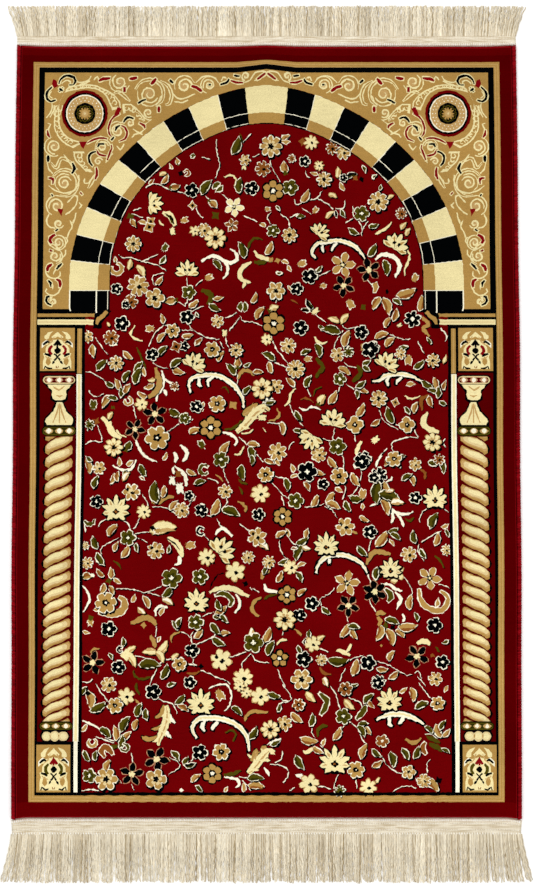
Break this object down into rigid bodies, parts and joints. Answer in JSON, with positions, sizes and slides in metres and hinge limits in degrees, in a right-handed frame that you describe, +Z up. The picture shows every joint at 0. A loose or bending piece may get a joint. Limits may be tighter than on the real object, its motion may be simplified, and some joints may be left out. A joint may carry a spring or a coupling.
{
  "type": "fringed prayer mat lying flat",
  "caption": "Flat woven-pile prayer mat with an arch and column design, overcast sides and a woven tape with a strand fringe at each end.",
  "frame": {"origin": "middle of the underside's bounding box, on the floor that the mat lies on", "axes": "+X to the right of the mat seen from above, +Y along the mat to its arch end (the head), +Z up through the pile"},
  "size_m": [0.7356, 1.2124, 0.008],
  "materials": {
    "pile": "short dense cut pile, soft sheen, dark red with tan, cream, black and olive yarns",
    "overcast_yarn": "crimson yarn wrapped round the side edge",
    "fringe_yarn": "matt cream cotton yarn and woven tape"
  },
  "bodies": {
    "root": {"mat_body": "pile", "side_cord_left": "overcast_yarn", "side_cord_right": "overcast_yarn", "head_fringe": "fringe_yarn", "foot_fringe": "fringe_yarn"}
  },
  "joints": []
}
